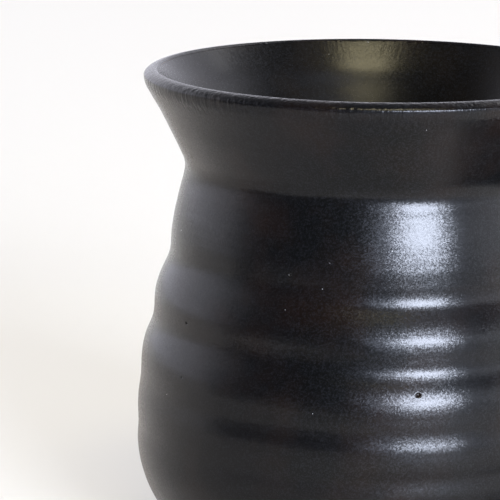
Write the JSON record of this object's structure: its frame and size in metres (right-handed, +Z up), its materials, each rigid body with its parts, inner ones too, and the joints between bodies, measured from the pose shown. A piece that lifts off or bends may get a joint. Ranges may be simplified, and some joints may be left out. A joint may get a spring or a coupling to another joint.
{
  "type": "candle jar",
  "caption": "Empty wheel-thrown stoneware candle jar with a flared collar, a narrow neck and a ribbed round belly, standing on a turned foot ring.",
  "frame": {"origin": "middle of the jar's foot, on the surface it stands on", "axes": "+Z up along the turning axis, towards the mouth"},
  "size_m": [0.0922, 0.0922, 0.096],
  "materials": {
    "stoneware": "bare fired stoneware, matte and slightly gritty",
    "satin_black_glaze": "satin black glaze with fine specks and small pinholes, thin and brown on the edges",
    "liner_glaze": "satin black liner glaze, a little smoother than the outside"
  },
  "bodies": {
    "root": {"stoneware_body": "stoneware", "outer_glaze": "satin_black_glaze", "liner_glaze": "liner_glaze"}
  },
  "joints": []
}
